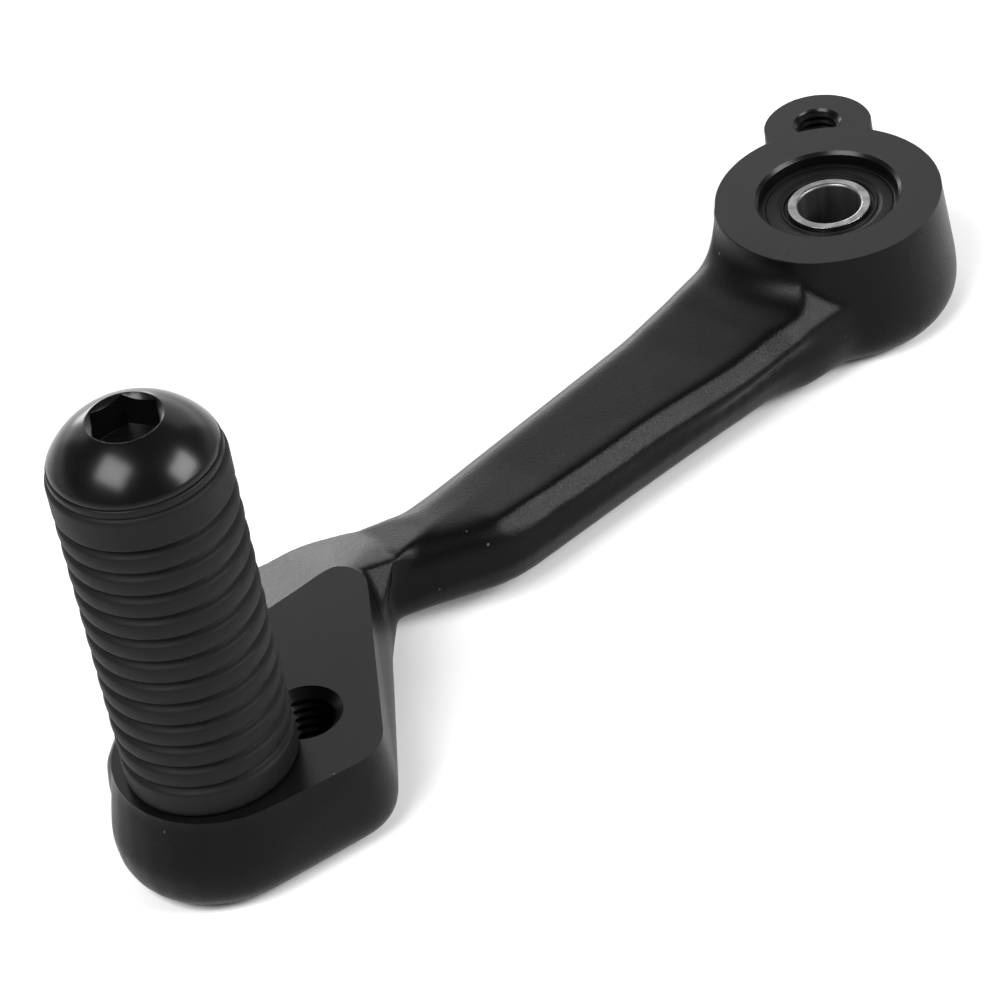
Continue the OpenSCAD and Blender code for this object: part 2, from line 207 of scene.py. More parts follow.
class Wire:
    def __init__(self, graph, socket):
        self.graph, self.socket = graph, socket

    def maths(self, operation, a, b):
        return self.graph.node("ShaderNodeMath", dict(operation=operation), {0: a, 1: b})

    def __add__(self, other):
        return self.maths("ADD", self, other)

    def __sub__(self, other):
        return self.maths("SUBTRACT", self, other)

    def __rsub__(self, other):
        return self.maths("SUBTRACT", other, self)

    def __mul__(self, other):
        return self.maths("MULTIPLY", self, other)

    __radd__ = __add__
    __rmul__ = __mul__

    def above(self, edge, width):  # 0 below the edge, 1 past edge + width
        span = {0: self, 1: edge, 2: edge + width, 3: 0.0, 4: 1.0}
        return self.graph.node("ShaderNodeMapRange", {}, span)


class Graph:
    def __init__(self, owner):
        owner.use_nodes = True
        self.tree = owner.node_tree
        self.tree.nodes.clear()

    def node(self, kind, settings, inputs, output=0):
        made = self.tree.nodes.new(kind)
        for key, value in settings.items():
            setattr(made, key, value)
        for key, value in inputs.items():
            if isinstance(value, Wire):
                self.tree.links.new(value.socket, made.inputs[key])
            else:
                made.inputs[key].default_value = value
        return Wire(self, made.outputs[output]) if made.outputs else None

    def place(self):
        return self.node("ShaderNodeTexCoord", {}, {}, "Object")

    def scaled(self, vector, scale):
        return self.node("ShaderNodeMapping", {}, {"Vector": vector, "Scale": scale})

    def noise(self, size, detail, rough, where=None):  # size is one blob, in mm
        inputs = {"Vector": where or self.place(), "Scale": 1 / (size * mm),
                  "Detail": detail, "Roughness": rough}
        return self.node("ShaderNodeTexNoise", {}, inputs, "Fac")

    def blend(self, share, a, b):
        return self.node("ShaderNodeMix", dict(data_type="RGBA"), {0: share, 6: a, 7: b}, 2)

    def bump(self, height, strength, depth):  # depth in metres
        inputs = {"Strength": strength, "Distance": depth, "Height": height}
        return self.node("ShaderNodeBump", {}, inputs, "Normal")


def grey(level, tint=(1, 1, 1)):
    return (level * tint[0], level * tint[1], level * tint[2], 1)


# Each noise below is a blob's size in mm, its detail and its roughness, and each bump its strength and
# depth. roughSpan is how much the noise named by roughBy moves the roughness, and shader holds what is
# the same all over the surface.
dustEdge = (0.81, 0.02)
forgedBlack = dict(
    grain=(0.26, 3, 0.6), cloud=(9, 4, 0.6), shades=(0.001, 0.003), bump=(0.8, 0.00004),
    dust=(0.8, 1, 0.4), dustShare=0.2, dustGrey=0.35,
    rough=0.33, roughBy="grain", roughSpan=0.35, shader={"Specular IOR Level": 0.096})
machinedBlack = dict(
    grain=(0.35, 3, 0.6), cloud=(6, 4, 0.65), shades=(0.002, 0.004), bump=(0.05, 0.00002),
    dust=(0.9, 1, 0.4), dustShare=0.25, dustGrey=0.2,
    rough=0.26, roughBy="cloud", roughSpan=0.05, shader={"Specular IOR Level": 0.18})
groundSteel = dict(
    # the stripes along the axis are painted reflections: light and dark bands in the steel's colour
    stretch=(1, 1, 0.03), paintedReflection=(1.9, 1, 0.4), paintedReflectionEdge=(0.42, 0.2), streak=(0.3, 2, 0.5),
    shades=(0.16, 0.25), tint=(1, 1, 1.02), bump=(0.06, 0.000012), rough=0.2, roughSpan=0.12,
    boreR=4.15, boreFade=0.1, boreRough=0.17, shader={"Metallic": 1.0})
dullSteel = dict(
    cloud=(1.5, 3, 0.6), grain=(0.2, 2, 0.5), shades=(0.30, 0.42), bump=(0.3, 0.00001),
    rough=0.32, roughBy="cloud", roughSpan=0.15, shader={"Metallic": 1.0})
springSteel = dict(
    cloud=(2.0, 3, 0.6), grain=(0.15, 2, 0.5), shades=(0.035, 0.07), bump=(0.3, 0.00002),
    rough=0.35, roughBy="grain", roughSpan=0.2, shader={"Metallic": 0.6})
blackenedSteel = dict(
    cloud=(2.0, 3, 0.6), grain=(0.2, 2, 0.5), shades=(0.004, 0.009), bump=(0.3, 0.00002),
    rough=0.3, roughBy="grain", roughSpan=0.15, shader={"Specular IOR Level": 0.1})
sealRubber = dict(
    cloud=(2.5, 3, 0.6), grain=(0.12, 2, 0.5), shades=(0.002, 0.005), bump=(0.15, 0.00002),
    rough=0.33, roughBy="cloud", roughSpan=0.16, shader={"Specular IOR Level": 0.1})
glossBlack = dict(
    cloud=(5, 3, 0.5), grain=(1.4, 2, 0.5), shades=(0.001, 0.003), bump=(0.06, 0.00004),
    rough=0.20, roughBy="cloud", roughSpan=0.06, shader={"Specular IOR Level": 0.22})
ribbedRubber = dict(
    cloud=(7, 4, 0.6), grain=(0.12, 3, 0.6), worn=(1.6, 3, 0.7), cloudShare=0.6, wornShare=0.4,
    shades=(0.003, 0.007), bump=(0.35, 0.00003), rough=0.55, roughSpan=0.2,
    shader={"Specular IOR Level": 0.12})


def finish(name, build, look):
    material = bpy.data.materials.new(name)
    graph = Graph(material)
    shader = graph.node("ShaderNodeBsdfPrincipled", {}, {**look["shader"], **build(graph, look)})
    graph.node("ShaderNodeOutputMaterial", {}, {"Surface": shader})
    return material


def shadesOf(graph, look, share, tint=(1, 1, 1)):
    dark, light = look["shades"]
    return graph.blend(share, grey(dark), grey(light, tint))


def dustySkin(graph, look):  # a fine grain over slow clouds, with specks of dust
    place = graph.place()
    noise = {kind: graph.noise(*look[kind], place) for kind in ("grain", "cloud", "dust")}
    dust = noise["dust"].above(*dustEdge) * look["dustShare"]
    colour = graph.blend(dust, shadesOf(graph, look, noise["cloud"]), grey(look["dustGrey"]))
    rough = look["rough"] + (noise[look["roughBy"]] - 0.5) * look["roughSpan"]
    return {"Base Color": colour, "Roughness": rough, "Normal": graph.bump(noise["grain"], *look["bump"])}


def evenSkin(graph, look):  # clouds in the colour and a fine grain
    noise = {kind: graph.noise(*look[kind]) for kind in ("cloud", "grain")}
    rough = look["rough"] + noise[look["roughBy"]] * look["roughSpan"]
    return {"Base Color": shadesOf(graph, look, noise["cloud"]), "Roughness": rough,
            "Normal": graph.bump(noise["grain"], *look["bump"])}


def steelSkin(graph, look):  # ground steel, with light and dark stripes along its axis painted into its colour as reflections, and a rougher bore
    place = graph.place()
    tall = graph.scaled(place, look["stretch"])
    # painted reflection: light and dark stripes along the axis in the colour
    paintedReflection = graph.noise(*look["paintedReflection"], tall).above(*look["paintedReflectionEdge"])
    streak = graph.noise(*look["streak"], tall)
    across = graph.scaled(place, (1, 1, 0))
    fromAxis = graph.node("ShaderNodeVectorMath", dict(operation="LENGTH"), {0: across}, "Value")
    bore = 1 - fromAxis.above(look["boreR"] * mm, look["boreFade"] * mm)
    rough = look["rough"] + streak * look["roughSpan"] + bore * look["boreRough"]
    return {"Base Color": shadesOf(graph, look, paintedReflection, look["tint"]), "Roughness": rough,
            "Normal": graph.bump(streak, *look["bump"])}


def rubberSkin(graph, look):  # moulded rubber, paler where it is worn
    cloud, grain, worn = [graph.noise(*look[kind]) for kind in ("cloud", "grain", "worn")]
    share = cloud * look["cloudShare"] + worn * look["wornShare"]
    rough = look["rough"] + (worn - 0.5) * look["roughSpan"]
    return {"Base Color": shadesOf(graph, look, share), "Roughness": rough,
            "Normal": graph.bump(grain, *look["bump"])}


skins = {
    "forged_black": finish("forgedBlack", dustySkin, forgedBlack),
    "bearing_steel": finish("bearingSteel", steelSkin, groundSteel),
    "ball_steel": finish("ballSteel", steelSkin, groundSteel),
    "cage_steel": finish("cageSteel", evenSkin, dullSteel),
    "seal_rubber": finish("sealRubber", evenSkin, sealRubber),
    "spring_steel": finish("springSteel", evenSkin, springSteel),
    "gloss_screw": finish("glossScrew", evenSkin, glossBlack),
    "washer_black": finish("washerBlack", evenSkin, blackenedSteel),
    "tube_steel": finish("tubeSteel", evenSkin, dullSteel),
    "peg_rubber": finish("pegRubber", rubberSkin, ribbedRubber)}
machined = finish("machinedBlack", dustySkin, machinedBlack)
print("finishes made")


def fit(obj, body, slotName, *replaced):
    # a piece takes its finish, rides on its body and stands for its CAD nodes
    if not any(obj.data.materials):
        obj.data.materials.clear()
        obj.data.materials.append(skins[slotName])
    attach(obj, body)
    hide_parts(*replaced)


slotOf = {part["node"]: part["material_slot"] for part in record["subparts"]}
for name, obj in nodes.items():
    obj.data.materials.clear()
    obj.data.materials.append(skins[slotOf[name]])

# The forging is blended first, and its faces and holes are machined after that.
pegBox = [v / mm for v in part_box("peg_rubber")[0]], [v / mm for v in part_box("peg_rubber")[1]]
bodyBox = [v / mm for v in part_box("lever_body")[0]], [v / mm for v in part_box("lever_body")[1]]
pegX = (pegBox[0][0] + pegBox[1][0]) / 2
padTop = pegBox[0][2]
hubTop = bodyBox[1][2]
hubBack = bodyBox[0][2]
link = [v / mm for v in mount["linkage_hole"]["pos_m"]]
spare = [v / mm for v in mount["spare_peg_hole"]["pos_m"]]
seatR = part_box("front_outer_ring")[1].x / mm
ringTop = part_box("front_outer_ring")[1].z / mm
lever = dict(
    voxel=0.36, smooth=26, blendSmooth=70, raised=3.2, sharpAngle=38, hubR=14.4, hubDraft=5, lipR=8.9,
    earTop=5.0, earR=7.1, pegTap=3.4, earTap=2.5, pegChamfer=1.05, earChamfer=0.65)


def fadeIn(value, start, width):  # 0 up to start, 1 past start + width
    return np.clip((value - start) / width, 0, 1)


def fadeOut(value, end, width):  # 1 up to end - width, 0 past end
    return np.clip((end - value) / width, 0, 1)


# a pair such as fromX is where a change starts or ends, and the width over which it fades
foot = dict(top=4.0, wall=14.6, radius=4.5, nearY=(9.7, 4), fromX=(9, 2), fromZ=(-1, 2))


def footed(co):  # the round where the arm's top runs into the hub
    x, y, z = co.T
    r = foot["radius"]
    out = np.clip(np.hypot(x, y) - foot["wall"], 0, r)
    lift = r - np.sqrt(r * r - (r - out) ** 2)
    share = fadeOut(y, *foot["nearY"]) * fadeIn(x, *foot["fromX"]) * fadeIn(z, *foot["fromZ"])
    raised = np.minimum(z + lift * share, foot["top"] + lift)
    co[:, 2] = np.maximum(z, raised)


neck = dict(
    slope=0.1, inset=2.5, most=0.5, top=4.1, ramp=(57, 71, 79, 83), fromZ=(-1.5, 3),
    far=((60, -12.7), (66, -12.9), (71.8, -13.8), (76.8, -16.3), (82.3, -20.2), (90, -22)))


def leaned(co):  # the neck's top leans toward the far side, more and more toward the pad
    x, y, z = co.T
    a, b, c, d = neck["ramp"]
    share = fadeIn(x, a, b - a) * fadeOut(x, d, d - c) * fadeIn(z, *neck["fromZ"])
    far = np.interp(x, [p[0] for p in neck["far"]], [p[1] for p in neck["far"]])
    raised = z + share * np.clip(neck["slope"] * (y - far - neck["inset"]), 0, neck["most"])
    co[:, 2] = np.maximum(z, np.minimum(raised, neck["top"]))


shelf = dict(
    slope=0.27, neckEdge=3.1, neckSlope=0.15, neckY=-6, neckX=(77, 81),
    nearY=(-5, 0.8), farX=(104, 3), reach=(-2.5, 16), lowest=1, startX=66, cutX=(67, 5), fillX=(73, 4),
    edge=[(104, -13.2), (98, -12.4), (92.8, -11.6), (88.9, -11.0), (85.4, -10.6), (83.8, -10.1),
          (82.9, -8.6), (82.8, -6.4), (83.4, -5)])


def shelved(co):  # the shelf slopes down evenly from the pad's edge
    x, y, z = co.T
    away = np.full(len(co), np.inf)
    for (ax, ay), (bx, by) in zip(shelf["edge"], shelf["edge"][1:]):
        length = math.hypot(bx - ax, by - ay)
        ux, uy = (bx - ax) / length, (by - ay) / length
        t = np.clip((x - ax) * ux + (y - ay) * uy, 0, length)
        off = np.hypot(x - ax - ux * t, y - ay - uy * t)
        side = np.where((x - ax) * uy - (y - ay) * ux < 0, 1, -1)
        away = np.where(off < abs(away), side * off, away)
    inside, outside = shelf["reach"]
    zone = fadeOut(y, *shelf["nearY"]) * fadeOut(x, *shelf["farX"]) * (away > inside) * (away < outside)
    zone = zone * (z > shelf["lowest"]) * (x > shelf["startX"])
    neckTop = shelf["neckEdge"] + shelf["neckSlope"] * (y - shelf["neckY"])
    goal = np.maximum(padTop - shelf["slope"] * away, np.interp(x, shelf["neckX"], (1, 0)) * neckTop)
    share = np.where(goal < z, fadeIn(x, *shelf["cutX"]), fadeIn(x, *shelf["fillX"]))
    co[:, 2] = z + zone * share * (goal - z)


# run holds place along X, then across Y at the flat's height, then the top there
flat = dict(
    height=2.3, slope=44, width=2.3, proud=0.1, soften=11, blendSoften=6, taper=12, narrowest=0.1,
    lap=0.05, deep=4, tuckIn=0.2, tuckDown=1.1,
    fromZ=(-2, 1.5), fromHub=(14.8, 0.9), fromX=(9, 1.5), fadeEnd=6,
    run=[(11, 10.35, 4.2), (13, 9.9, 4.1), (15.5, 9.3, 3.9), (19.5, 8.8, 3.8), (23.5, 7.45, 3.2),
         (27.4, 6.4, 2.8), (31.3, 5.4, 2.6), (35.2, 4.4, 2.5), (39.3, 3.6, 2.5), (43.3, 2.95, 2.5),
         (47.5, 2.5, 2.5), (51.5, 1.95, 2.5), (55.5, 1.35, 2.5), (59.6, 0.9, 2.5), (63.5, 0.35, 2.5),
         (66.5, -0.2, 2.5)])
# the ramp in the pad's near corner: start, full and end are from the peg's axis, and the boss beside it
# has a circle at each end, given as (x, y, radius)
corner = dict(
    place=-5.2, start=-41, full=-36.5, end=-30.5, tip=(-28.8, -7.2, 3.7), root=(-10, 10.2, 5.2),
    draft=0.21, deep=6.8, bossFade=0.5)


def edgeFill():  # fills the rounded edge, so that a true flat can be planed on it
    drop = math.tan(math.radians(90 - flat["slope"]))
    end, deep = flat["run"][-1][0], flat["deep"]
    rings = []
    for x, y, top in flat["run"]:
        upper = y - (top - flat["height"]) / drop + flat["proud"]
        wide = flat["width"] * min(1, (end - x) / flat["taper"] + flat["narrowest"])
        lower = (upper + wide, top - wide * drop)
        under = (lower[0] - flat["tuckIn"], lower[1] - flat["tuckDown"])
        rings.append([(x, upper - deep, top), (x, upper, top + flat["lap"]), (x, *lower), (x, *under),
                      (x, upper - deep / 2, top - deep)])
    return loft("edgeFill", rings)


def fromBoss(co):  # distance outside the boss wall, which runs from the tip's circle to the root's
    x, y, z = co.T
    (ax, ay, ar), (bx, by, br) = corner["tip"], corner["root"]
    ax, bx = ax + pegX, bx + pegX
    t = np.clip(((x - ax) * (bx - ax) + (y - ay) * (by - ay)) / ((bx - ax) ** 2 + (by - ay) ** 2), 0, 1)
    wall = ar + (br - ar) * t + corner["draft"] * np.clip(padTop - z, 0, corner["deep"])
    return np.hypot(x - ax - (bx - ax) * t, y - ay - (by - ay) * t) - wall


def planed(co):  # planes the edge flat and the ramp in the pad's corner
    tilt = math.radians(flat["slope"])
    x, y, z = co.T
    xs, ys = [p[0] for p in flat["run"]], [p[1] for p in flat["run"]]
    high = fadeIn(z, *flat["fromZ"])
    clear = fadeIn(np.hypot(x, y), *flat["fromHub"])
    along = clear * high * fadeOut(x, xs[-1], flat["fadeEnd"]) * fadeIn(x, *flat["fromX"])
    inCorner = fadeIn(x - pegX, corner["start"], corner["full"] - corner["start"])
    inCorner = inCorner * (x < pegX + corner["end"]) * (high * fadeIn(fromBoss(co), 0, corner["bossFade"]))
    for edge, share in ((np.interp(x, xs, ys), along), (corner["place"], inCorner)):
        out = (co[:, 1] - edge) * math.cos(tilt) + (co[:, 2] - flat["height"]) * math.sin(tilt)
        cut = np.clip(out, 0, None) * share
        co[:, 1] -= cut * math.cos(tilt)
        co[:, 2] -= cut * math.sin(tilt)


def reshaped(obj, *changes):  # moves the corners of the mesh, in mm, and softens what the changes leave
    co = np.empty(len(obj.data.vertices) * 3)
    obj.data.vertices.foreach_get("co", co)
    co = co.reshape(-1, 3) / mm
    for change in changes:
        change(co)
    obj.data.vertices.foreach_set("co", (co * mm).ravel())
    return smoothed(obj, flat["soften"], flat["blendSoften"])


def atLevel(level, keep, near=0.002):  # CAD corners of the body at one height, in mm
    co = np.array([v.co for v in nodes["lever_body"].data.vertices]) / mm
    picked = co[(abs(co[:, 2] - level) < near) & keep(co[:, 0], co[:, 1])]
    return [(p[0], p[1]) for p in picked]


def joined(obj, extra):
    work = bmesh.new()
    work.from_mesh(obj.data)
    for other in extra:
        work.from_mesh(other.data)
        bpy.data.objects.remove(other)
    work.to_mesh(obj.data)
    work.free()


# corners of the fills round the pad, from the peg's axis
blends = dict(
    shelfSlope=[
        (-12, -12.8, 4.35), (-19, -12.1, 4.35), (-22.5, -11.7, 4.35), (-26.4, -11.1, 4.3),
        (-29.5, -10.6, 4.25), (-31.5, -9.4, 4.1), (-32.2, -8.2, 4.0), (-10, -21.2, 1.8),
        (-20, -21.4, 1.9), (-26, -20.8, 1.9), (-32, -18.6, 1.9), (-38, -15.2, 1.9), (-44, -12.6, 2.1),
        (-46, -9, 2.4), (-28, -14, -2), (-20, -10, -2)],
    neckRise=[
        (-32.2, -8.6, 4.1), (-31.5, -10.1, 4.1), (-32.6, -7.2, 3.6), (-36.5, -8, 2.9), (-42, -6, 2.45),
        (-46, -5, 2.35), (-47, -9, 2.45), (-41, -12.5, 2.3), (-34, -9, -1)],
    ramp=[
        (-32.5, -5.3, 3.9), (-37.4, -5.4, 2.9), (-31.7, -3.0, 0.4), (-32.4, -3.9, -1.8), (-29, -8, 4.0),
        (-35, -10, 3), (-33, -8, -3), (-38.4, -8, 2.4)])
# fills close the holes and stand over the faces until these are machined, and start inside the metal
fills = dict(hubLow=0.05, hubOver=1, hubHigh=3, padFrom=-40, padLevel=0.2, padDeep=1.5, earOver=1,
             earDeep=2, plugIn=1, plugDeep=8.9, holeR=6, holeLow=0.1)


def forgedBlank():
    blank = copyOf("lever_body", "leverForging")
    up = lever["raised"]
    coneR = lever["hubR"] - up * math.tan(math.radians(lever["hubDraft"]))
    hubLow, innerR, earTop = hubBack + fills["hubLow"], seatR + fills["hubOver"], lever["earTop"]
    hubWall = [(0, hubLow), (innerR, hubLow), (innerR, hubTop - fills["hubHigh"]), (lever["hubR"], hubTop),
               (coneR, hubTop + up), (0, hubTop + up)]
    onPad = atLevel(padTop - fills["padLevel"], lambda x, y: x > pegX + fills["padFrom"])
    earReach = lever["earR"] + fills["earOver"]
    onEar = atLevel(earTop, lambda x, y: np.hypot(x - link[0], y - link[1]) < earReach)
    earPlug = circle(link[0], link[1], lever["earR"] - fills["plugIn"])
    holeR, holeLow = fills["holeR"], hubBack + fills["holeLow"]
    extra = [
        lathe("hubFill", hubWall, cutterSteps),
        prism("padRaise", onPad, padTop - fills["padDeep"], padTop + up),
        prism("earRaise", onEar, earTop - fills["earDeep"], earTop + up),
        prism("earFill", earPlug, earTop - fills["plugDeep"], earTop + up),
        prism("pegFill", circle(pegX, 0, holeR), holeLow, padTop + up),
        prism("spareFill", circle(spare[0], spare[1], holeR), holeLow, padTop + up),
        edgeFill()]
    extra += [block(name, [(pegX + x, y, z) for x, y, z in corners]) for name, corners in blends.items()]
    joined(blank, extra)
    remesh = blank.modifiers.new("grow", "REMESH")
    remesh.mode = "VOXEL"
    remesh.voxel_size = lever["voxel"] * mm
    remesh.adaptivity = 0
    return settle(blank)


# the zones smoothed more: round the hub's foot, at the pad's corner and along the shelf
zones = dict(
    hubR=16.5, hubWide=5.5, hubX=3, hubHigh=(7.5, 2), least=0.02,
    cornerAt=(85, -8), cornerR=13, cornerCore=1.35, cornerShare=0.45,
    shelfAt=(97, -16), shelfR=17, shelfCore=1.3, shelfSquash=1.3, shelfY=-10)


def smoothZones(obj):  # smooths the whole blank, then these zones again
    co = np.array([v.co for v in obj.data.vertices]) / mm
    x, y, z = co.T
    atFoot = np.clip(1 - abs(np.hypot(x, y) - zones["hubR"]) / zones["hubWide"], 0, 1)
    atFoot = atFoot * (x > zones["hubX"]) * fadeOut(z, *zones["hubHigh"])
    cornerX, cornerY = zones["cornerAt"]
    fromCorner = np.hypot(x - cornerX, y - cornerY) / zones["cornerR"]
    atCorner = zones["cornerShare"] * np.clip(zones["cornerCore"] - fromCorner, 0, 1)
    shelfX, shelfY = zones["shelfAt"]
    fromShelf = np.hypot(x - shelfX, (y - shelfY) * zones["shelfSquash"]) / zones["shelfR"]
    onShelf = np.clip(zones["shelfCore"] - fromShelf, 0, 1) * (y < zones["shelfY"])
    weight = np.clip(np.maximum(np.maximum(atFoot, atCorner), onShelf), 0, 1)
    group = obj.vertex_groups.new(name="blends")
    for i in np.nonzero(weight > zones["least"])[0]:
        group.add([int(i)], float(weight[i]), "REPLACE")
    return smoothed(obj, lever["smooth"], lever["blendSmooth"])


# rootHalf and crestHalf are half widths in pitches; inside is how far a cutter's root keeps within its
# hole's radius, and below how far it stops short of the top
thread = dict(rootHalf=0.46, crestHalf=0.06, stepsPerTurn=40)
spareThread = dict(inside=0.15, crest=3.8, pitch=1.25, below=1.4)
linkThread = dict(inside=0.12, crest=3.0, pitch=1.0, below=-0.2)


def threadCutter(name, centre, tap, size, low, top):  # a helix that cuts one thread into a hole's wall
    root, crest, pitch, steps = tap - size["inside"], size["crest"], size["pitch"], thread["stepsPerTurn"]
    wide, tip = thread["rootHalf"] * pitch, thread["crestHalf"] * pitch
    section = [(root, -wide), (crest, -tip), (crest, tip), (root, wide)]
    rings = []
    for i in range(int((top - size["below"] - low) / pitch * steps) + 1):
        turn, level = 2 * math.pi * i / steps, low + pitch * i / steps
        rings.append([(centre[0] + r * math.cos(turn), centre[1] + r * math.sin(turn), level + rise)
                      for r, rise in section])
    return loft(name, rings)


def holeCutter(name, x, y, r, chamfer, top, bottom):  # the chamfer at the back is half of the one in front
    back = chamfer * 0.5
    edge = [(0, bottom - past), (r + back + past, bottom - past), (r, bottom + back), (r, top - chamfer),
            (r + chamfer + past, top + past), (0, top + past)]
    return lathe(name, edge, cutterSteps, (x, y))


cuts = dict(
    above=2, faceR=30, padLeft=38, padRight=20, padWide=30, earOver=3, linkDeep=9,
    shieldLow=-20, shieldOver=1.2, shieldUnder=0.1, shieldUp=4,  # keeps the ear's cut out of the hub
    seatChamfer=0.4, grooveDeep=0.5, grooveWide=1.1)


def leverForging():
    body = reshaped(smoothZones(forgedBlank()), footed, leaned, shelved, planed)
    up = lever["raised"] + cuts["above"]
    hubR, lipR, earTop = lever["hubR"], lever["lipR"], lever["earTop"]
    hubFace = [(0, hubTop), (cuts["faceR"], hubTop), (cuts["faceR"], hubTop + up), (0, hubTop + up)]
    carve(body, lathe("hubFace", hubFace, cutterSteps))
    left, right, wide = pegX - cuts["padLeft"], pegX + cuts["padRight"], cuts["padWide"]
    padFace = [(left, -wide), (right, -wide), (right, wide), (left, wide)]
    carve(body, prism("padFace", padFace, padTop, padTop + up))
    earOutline = circle(link[0], link[1], lever["earR"] + cuts["earOver"])
    earFace = prism("earFace", earOutline, earTop, hubTop + past)
    shield = [(0, cuts["shieldLow"]), (hubR + cuts["shieldOver"], cuts["shieldLow"]),
              (hubR - cuts["shieldUnder"], hubTop + cuts["shieldUp"]), (0, hubTop + cuts["shieldUp"])]
    carve(earFace, lathe("hubShield", shield, cutterSteps))
    carve(body, earFace)
    edge = cuts["seatChamfer"]
    grooveR, grooveLow = seatR + cuts["grooveDeep"], -ringTop - cuts["grooveWide"]
    seat = [(0, hubBack - past), (seatR + edge + past, hubBack - past), (seatR, hubBack + edge),
            (seatR, grooveLow), (grooveR, grooveLow), (grooveR, -ringTop), (seatR, -ringTop),
            (seatR, ringTop), (lipR, ringTop), (lipR, hubTop - edge), (lipR + edge + past, hubTop + past),
            (0, hubTop + past)]
    carve(body, lathe("seat", seat, seatSteps))
    pegHole, earHole = (lever["pegTap"], lever["pegChamfer"]), (lever["earTap"], lever["earChamfer"])
    linkLow = earTop - cuts["linkDeep"]
    carve(body, holeCutter("pegHole", pegX, 0, *pegHole, padTop, hubBack))
    carve(body, holeCutter("spareHole", spare[0], spare[1], *pegHole, padTop, hubBack))
    carve(body, holeCutter("linkHole", link[0], link[1], *earHole, earTop, linkLow))
    carve(body, threadCutter("spareThread", spare, lever["pegTap"], spareThread, hubBack - past, padTop))
    carve(body, threadCutter("linkThread", link, lever["earTap"], linkThread, linkLow - past, earTop))
    return body


cutSkin = dict(seatOver=0.7, pegHoleR=4.9, linkHoleR=3.6, near=0.01, level=0.99)


def markMachined(obj):  # the cut faces and holes take the machined finish
    mesh = obj.data
    mesh.materials.clear()
    mesh.materials.append(skins["forged_black"])
    mesh.materials.append(machined)
    count = len(mesh.polygons)
    normal, centre = np.zeros(count * 3), np.zeros(count * 3)
    mesh.polygons.foreach_get("normal", normal)
    mesh.polygons.foreach_get("center", centre)
    normal, centre = normal.reshape(-1, 3), centre.reshape(-1, 3) / mm
    isCut = np.zeros(count, bool)
    for level in (hubTop, padTop, lever["earTop"]):
        isCut |= (abs(centre[:, 2] - level) < cutSkin["near"]) & (normal[:, 2] > cutSkin["level"])
    holes = ((0, 0, seatR + cutSkin["seatOver"]), (pegX, 0, cutSkin["pegHoleR"]),
             (spare[0], spare[1], cutSkin["pegHoleR"]), (link[0], link[1], cutSkin["linkHoleR"]))
    for x, y, r in holes:
        isCut |= np.hypot(centre[:, 0] - x, centre[:, 1] - y) < r
    mesh.polygons.foreach_set("material_index", isCut.astype(int))


def keepEdges(obj):  # a crisp edge wherever a cut meets the forged skin
    work = bmesh.new()
    work.from_mesh(obj.data)
    for edge in work.edges:
        if len({face.material_index for face in edge.link_faces}) > 1:
            edge.smooth = False
    work.to_mesh(obj.data)
    work.free()


leverPiece = leverForging()
markMachined(leverPiece)
shaded(leverPiece, lever["sharpAngle"])
keepEdges(leverPiece)
fit(leverPiece, "lever", "forged_black", "lever_body")
print("forging made:", len(leverPiece.data.polygons), "faces")

ring = dict(face=5.25, bore=4.0, wall=5.93, step=1.1, boreEdge=0.45, faceEdge=0.12, edgeSteps=5,
            sharpAngle=30)


def innerRing(name, low, high):
    f, b, wall, step = ring["face"], ring["bore"], ring["wall"], ring["step"]
    outline = [(b, low, ring["boreEdge"]), (f, low, ring["faceEdge"]), (f, low + step, 0),
               (wall, low + step, 0), (wall, high - step, 0), (f, high - step, 0),
               (f, high, ring["faceEdge"]), (b, high, ring["boreEdge"])]
    return shaded(lathe(name, eased(outline, ring["edgeSteps"]), ringSteps), ring["sharpAngle"])


# section holds (radius, depth below the seal's top, rounding): the clipped rim, a flat shield, a shallow
# trough, a raised bead and a thin lip by the inner ring
seal = dict(top=6.8, sharpAngle=30, section=[
    (9.66, 0.75, 0), (9.66, 0.16, 0.05), (9.36, 0.16, 0.05), (9.21, 0, 0.1), (8.4, 0, 0.1),
    (8.3, 0.07, 0.05), (8.15, 0.07, 0.05), (8.05, 0, 0.05), (6.75, 0, 0.15), (6.45, 0.22, 0.12),
    (6.2, 0.22, 0.08), (6.1, 0.06, 0.08), (5.85, 0.06, 0.08), (5.72, 0.34, 0.08), (5.31, 0.42, 0.05),
    (5.31, 0.75, 0.05)])


def sealRing(name, level, side):
    outline = [(r, level - side * depth) for r, depth in eased(seal["section"])]
    return shaded(lathe(name, outline, ringSteps), seal["sharpAngle"])


fit(innerRing("frontInnerRing", 0, ringTop), "pivot_rings", "bearing_steel", "front_inner_ring")
fit(innerRing("rearInnerRing", -ringTop, 0), "pivot_rings", "bearing_steel", "rear_inner_ring")
fit(sealRing("frontSeal", seal["top"], 1), "lever", "seal_rubber", "front_outer_seal")
fit(sealRing("rearSeal", -seal["top"], -1), "lever", "seal_rubber", "rear_outer_seal")
print("bearings dressed")

clip = dict(edge=0.08, segments=2, edgeAngle=40, sharpAngle=30)
circlip = bevelled(copyOf("circlip", "retainingRing"), clip["edge"], clip["segments"], clip["edgeAngle"])
fit(shaded(circlip, clip["sharpAngle"]), "lever", slotOf["circlip"], "circlip")
print("retaining ring made")

rubberTop = pegBox[1][2]
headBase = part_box("peg_washer")[1].z / mm
rubber = dict(
    radius=10, tubeR=6, edge=0.7, edgeSteps=5, sideSteps=300, sharpAngle=45,
    ribs=dict(count=12, pitch=3.14, first=4.1, depth=0.72, width=0.42, power=2.4, crown=0.07),
    seam=dict(turn=52, height=0.05, halfTurn=0.012, shallow=0.02, deep=0.3))


